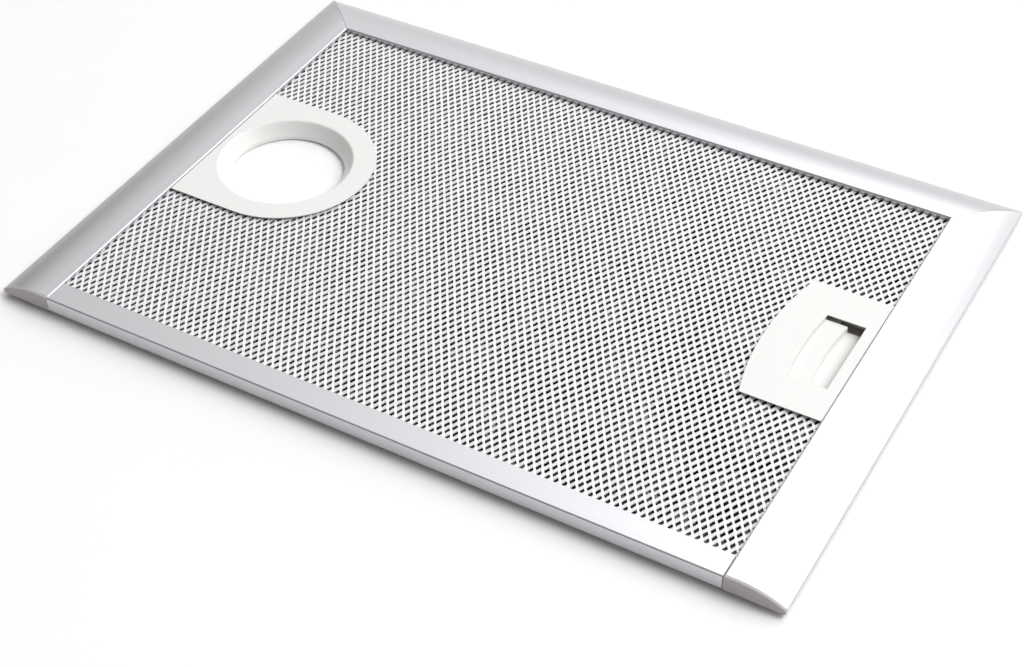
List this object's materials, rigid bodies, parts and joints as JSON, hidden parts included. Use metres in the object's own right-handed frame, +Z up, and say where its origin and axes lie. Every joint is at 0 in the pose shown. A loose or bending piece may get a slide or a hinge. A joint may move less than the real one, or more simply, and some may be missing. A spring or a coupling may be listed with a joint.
{
  "type": "cooker hood grease filter",
  "caption": "Flat aluminium mesh grease filter for a cooker hood, with a bowed frame, a round lamp opening in a plastic collar and a sprung finger catch.",
  "frame": {"origin": "middle of the filter's plan, on the surface that it lies on with its room side up", "axes": "+X along the long side from the lamp opening to the catch, +Y from the flat rail to the far bowed rail, +Z up out of the room side"},
  "size_m": [0.38, 0.27, 0.0092],
  "materials": {
    "anodised_aluminium": "satin",
    "key_aluminium": "mill",
    "expanded_mesh": "bright",
    "filter_mesh": "mill",
    "white_plastic": "moulded",
    "grey_plastic": "moulded",
    "spring_steel": "blank strip",
    "zinc_steel": "zinc plated"
  },
  "bodies": {
    "filter": {"frame_left": "anodised_aluminium", "frame_far": "anodised_aluminium", "frame_right": "anodised_aluminium", "frame_near": "anodised_aluminium", "far_key_left": "key_aluminium", "far_key_right": "key_aluminium", "near_key_left": "key_aluminium", "near_key_right": "key_aluminium", "upper_mesh": "expanded_mesh", "lower_mesh": "expanded_mesh", "inner_mesh_1": "filter_mesh", "inner_mesh_2": "filter_mesh", "inner_mesh_3": "filter_mesh", "lamp_collar": "white_plastic", "collar_ring": "white_plastic", "catch_plate": "white_plastic", "end_cap_left": "grey_plastic", "end_cap_right": "grey_plastic", "catch_back": "grey_plastic", "catch_spring": "spring_steel", "catch_screws": "zinc_steel"},
    "slider": {"catch_slider": "white_plastic"}
  },
  "joints": [
    {"name": "catch_slide", "type": "slide", "parent": "filter", "child": "slider", "axis": [-1, 0, 0], "range_m": [0, 0.006], "stiffness_N_per_m": 300, "springref_m": -0.005, "deforming": ["catch_spring"]}
  ]
}
